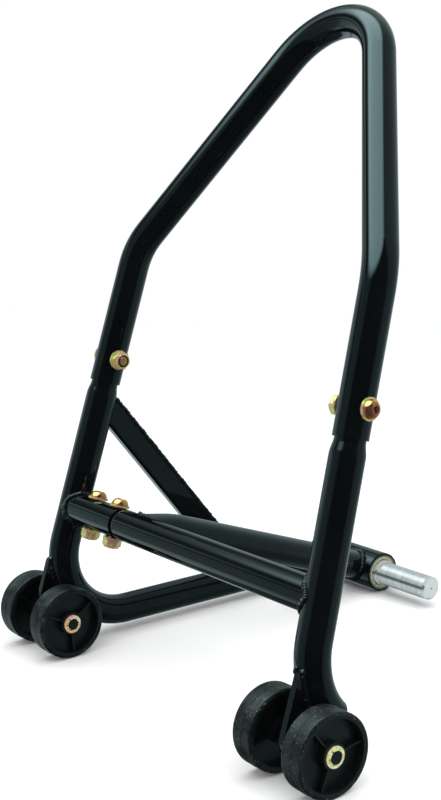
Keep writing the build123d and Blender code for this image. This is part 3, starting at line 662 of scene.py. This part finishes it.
def screw_rings(mesh, shank_r, head_r, seat, rim, crown):
    """A button-head screw's rings from the tip of its thread, over the head, into the key socket."""
    rings = []
    count = round(THREADED / THREAD_PITCH) * THREAD_STEPS
    for step in range(count):
        height = THREADED * step / count
        rings.append(ring_of(mesh, height, partial(thread_at, height=height, shank_r=shank_r)))
    for height, radius in (
        (THREADED, shank_r),
        (seat - SOFT_EDGE, shank_r),
        (seat, shank_r + SOFT_EDGE),
        (seat, head_r - SOFT_EDGE),
        (seat + SOFT_EDGE * 0.3, head_r - SOFT_EDGE * 0.3),
        (seat + SOFT_EDGE, head_r),
    ):
        rings.append(ring_of(mesh, height, radius))
    shoulder_r = head_r * (1 - DOME_SHOULDER) + CROWN_FLAT * DOME_SHOULDER
    shoulder = rim + (crown - rim) * DOME_FULLNESS
    for step in range(DOME_STEPS + 1):
        t = step / DOME_STEPS
        radius = (1 - t) ** 2 * head_r + 2 * t * (1 - t) * shoulder_r + t ** 2 * CROWN_FLAT
        height = (1 - t) ** 2 * rim + 2 * t * (1 - t) * shoulder + t ** 2 * crown
        rings.append(ring_of(mesh, height, radius))
    for height, apothem in (
        (crown, KEY_APOTHEM + SOFT_EDGE),
        (crown - SOFT_EDGE, KEY_APOTHEM),
        (crown - KEY_DEPTH, KEY_APOTHEM),
        (crown - KEY_DEPTH - SOFT_EDGE, KEY_APOTHEM * 0.5),
    ):
        rings.append(ring_of(mesh, height, partial(hexagon_at, apothem=apothem)))
    return rings


def one_screw(points):
    """A fine mesh of one screw, with its place and sizes measured from the CAD solid's corners."""
    tip, top = (Vector(end) for end in screw_line(points))
    way = (top - tip).normalized()
    heights, outwards = about_axis(points, np.array(tip), np.array(way))
    head_r = float(outwards.max())
    at_rim = heights[outwards > head_r - END_DEPTH]
    shank_r = float(outwards[heights < THREADED].max())
    mesh = bmesh.new()
    rings = screw_rings(mesh, shank_r, head_r, at_rim.min(), at_rim.max(), (top - tip).length)
    for lower, upper in zip(rings, rings[1:]):
        for k in range(ROUND_SIDES):
            after = (k + 1) % ROUND_SIDES
            mesh.faces.new((lower[k], lower[after], upper[after], upper[k]))
    mesh.faces.new(rings[0])
    mesh.faces.new(rings[-1])
    mesh.transform(Matrix.Translation(tip) @ way.to_track_quat("Z", "X").to_matrix().to_4x4())
    return mesh


def add_screws(node, finish):
    """Fine meshes in place of a CAD node's screws: domed head, key socket and threaded end."""
    together = bmesh.new()
    for points in separate_solids(node):
        single = one_screw(points)
        data = bpy.data.meshes.new("one_screw")
        single.to_mesh(data)
        single.free()
        together.from_mesh(data)
        bpy.data.meshes.remove(data)
    piece = finished_piece(f"{node}_detailed", together)
    piece.data.set_sharp_from_angle(angle=SHARP_ANGLE)
    piece.data.materials.append(finish)
    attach(piece, "frame")
    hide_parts(node)


# ---- studio --------------------------------------------------------------------------------
# The photo's own camera, solved together with the stand's main lines: metres, and a lens in mm.
CAMERA_AZIMUTH = radians(54.61)
CAMERA_ELEVATION = radians(11.20)
CAMERA_ROLL = radians(2.71)
CAMERA_DISTANCE = 1.369
CAMERA_LENS = 64.69
CAMERA_SENSOR = 36.0
CAMERA_AIM = CAD_MIDDLE + Vector((0, -0.0956, -0.0402))
TOWARDS_CAMERA = Vector((sin(CAMERA_AZIMUTH), -cos(CAMERA_AZIMUTH), 0))
CAMERA_LEFT = Vector((-cos(CAMERA_AZIMUTH), -sin(CAMERA_AZIMUTH), 0))


FLOOR_RADIUS = 3.0
FLOOR_GAP = 0.05 * MM           # between the floor and the lowest point of the tyres
FLOOR_FADE = (0.55, 2.2)        # the floor fades out between these distances from its middle

# Each lamp: where it stands, its size, and its power in watts.
LAMPS = {
    "overhead": (Vector((0, 0, 2.4)), 3.2, 46.0),
    "left_panel": (TOWARDS_CAMERA * 0.9 + CAMERA_LEFT * 1.7 + Vector((0, 0, 0.9)), 1.6, 5.0),
    "right_panel": (TOWARDS_CAMERA * 1.3 - CAMERA_LEFT * 1.5 + Vector((0, 0, 0.9)), 1.6, 20.0),
}

# What the gloss paint reflects round the horizon: degrees left of the camera, and brightness.
PANELS = (
    (-180, 0.42),
    (-152, 0.60),
    (-128, 0.42),
    (-110, 0.30),
    (-70, 0.23),
    (-58, 0.19),
    (-54, 0.0),
    (51, 0.0),
    (56, 0.20),
    (96, 0.25),
    (108, 0.30),
    (115, 0.58),
    (150, 0.64),
    (180, 0.42),
)
# How that changes with height, far to the left: degrees above the horizon, and a part of the
# brightness. Everywhere else the plain tiers only fade towards the floor.
TIERS = (
    (-90, 0.12),
    (-37, 0.14),
    (-31, 1.50),
    (-19, 1.35),
    (-15.5, 0.40),
    (-12, 1.05),
    (11, 0.95),
    (14, 0.26),
    (16, 0.26),
    (18.5, 1.20),
    (20, 1.10),
    (23, 0.16),
    (30, 0.10),
    (40, 0.9),
    (90, 0.9),
)
PLAIN_TIERS = (
    (-90, 0.2),
    (-40, 0.45),
    (-24, 1.0),
    (90, 1.0),
)
TIERS_FROM = (92, 104)          # degrees left where the plain tiers give way to the others
OVERHEAD_LEAN = 0.36            # the overhead panel leans this much to the camera's left
OVERHEAD_EDGE = radians(42)     # it fades in from here
OVERHEAD_FULL = radians(28)     # to here, measured from its middle
OVERHEAD_LEVEL = 3.6
AMBIENT = (0.92, 0.92, 0.92)    # what all but glossy and camera rays see
COOL = (0.80, 1.0, 1.02)


def add_camera():
    """A camera that sees the stand as the photo does."""
    data = bpy.data.cameras.new("camera")
    data.lens = CAMERA_LENS
    data.sensor_width = CAMERA_SENSOR
    data.clip_start, data.clip_end = 0.01, 100
    camera = bpy.data.objects.new("camera", data)
    scene.collection.objects.link(camera)
    back = TOWARDS_CAMERA * cos(CAMERA_ELEVATION) + Vector((0, 0, sin(CAMERA_ELEVATION)))
    camera.rotation_mode = "QUATERNION"
    level = (-back).to_track_quat("-Z", "Y").to_matrix()
    camera.rotation_quaternion = (level @ Matrix.Rotation(-CAMERA_ROLL, 3, "Z")).to_quaternion()
    camera.location = CAMERA_AIM + back * CAMERA_DISTANCE
    scene.camera = camera


def add_floor():
    """A pale floor that fades into the pale surroundings."""
    look = Look("pale_floor")
    mesh = bmesh.new()
    bmesh.ops.create_circle(mesh, cap_ends=True, segments=128, radius=FLOOR_RADIUS)
    data = bpy.data.meshes.new("floor")
    mesh.to_mesh(data)
    mesh.free()
    floor = bpy.data.objects.new("floor", data)
    scene.collection.objects.link(floor)
    floor.location.z = CAD_LOW.z - FLOOR_GAP
    distance = look.node("ShaderNodeVectorMath", operation="LENGTH")
    look.feed(distance.inputs[0], look.place)
    fade = look.eased(distance.outputs["Value"], *FLOOR_FADE, first=1.0, last=0.0)
    look.set(base_color=(0.9, 0.9, 0.9, 1), roughness=0.6, specular_ior_level=0.2, alpha=fade)
    data.materials.append(look.material)
    floor.visible_glossy = False


def add_lights():
    """Broad panels for soft shadows. They are left out of reflections, which see the studio."""
    for name, (place, size, power) in LAMPS.items():
        data = bpy.data.lights.new(name, "AREA")
        data.size = size
        data.energy = power
        lamp = bpy.data.objects.new(name, data)
        scene.collection.objects.link(lamp)
        lamp.location = place
        lamp.rotation_mode = "QUATERNION"
        lamp.rotation_quaternion = (CAD_MIDDLE - place).to_track_quat("-Z", "Y")
        lamp.visible_camera = False
        lamp.visible_glossy = False


class Studio(Look):
    """The world's node tree, built with the same helper."""

    def __init__(self):
        self.world = bpy.data.worlds.new("studio")
        self.world.use_nodes = True
        self.tree = self.world.node_tree
        self.place = self.node("ShaderNodeTexCoord").outputs["Generated"]

    def along(self, direction):
        """The cosine of the angle between where a ray goes and a direction."""
        made = self.node("ShaderNodeVectorMath", operation="DOT_PRODUCT")
        self.feed(made.inputs[0], self.place)
        made.inputs[1].default_value = direction
        return made.outputs["Value"]


def add_studio():
    """What the gloss paint reflects: darkness behind the camera, tall panels to its left and right,
    a strong panel overhead and a lit backdrop. Diffuse light comes from an even pale grey, and the
    camera itself sees plain white."""
    studio = Studio()
    height = studio.along(Vector((0, 0, 1)))
    around = studio.maths("ARCTAN2", studio.along(CAMERA_LEFT), studio.along(TOWARDS_CAMERA))
    turn = studio.maths("ADD", studio.maths("DIVIDE", around, tau), 0.5)
    rise = studio.maths("ADD", studio.maths("DIVIDE", studio.maths("ARCSINE", height), pi), 0.5)

    panels = studio.ramp(turn, *[(0.5 + left / 360, level) for left, level in PANELS])
    tiers = studio.ramp(rise, *[(0.5 + up / 180, level) for up, level in TIERS])
    plain = studio.ramp(rise, *[(0.5 + up / 180, level) for up, level in PLAIN_TIERS])
    tiered = studio.eased(turn, *[0.5 + left / 360 for left in TIERS_FROM])
    ring = studio.blend(1.0, panels, studio.blend(tiered, plain, tiers), "MULTIPLY")
    overhead_way = (Vector((0, 0, 1)) + CAMERA_LEFT * OVERHEAD_LEAN).normalized()
    nearness = studio.along(overhead_way)
    overhead = studio.eased(nearness, cos(OVERHEAD_EDGE), cos(OVERHEAD_FULL), last=OVERHEAD_LEVEL)
    total = studio.blend(1.0, ring, overhead, "ADD")
    cool = studio.blend(1.0, total, COOL, "MULTIPLY")
    path = studio.node("ShaderNodeLightPath")
    background = studio.tree.nodes["Background"]
    lit = studio.blend(path.outputs["Is Glossy Ray"], AMBIENT, cool)
    seen = studio.blend(path.outputs["Is Camera Ray"], lit, (1.0, 1.0, 1.0))
    studio.feed(background.inputs["Color"], seen)
    scene.world = studio.world


scene.view_settings.view_transform = "Standard"
dress_nodes()
add_welds()
add_screws("hoop_bolts", BOLT_ZINC)
add_screws("cross_bolts", BOLT_ZINC)
add_floor()
add_lights()
add_studio()
add_camera()
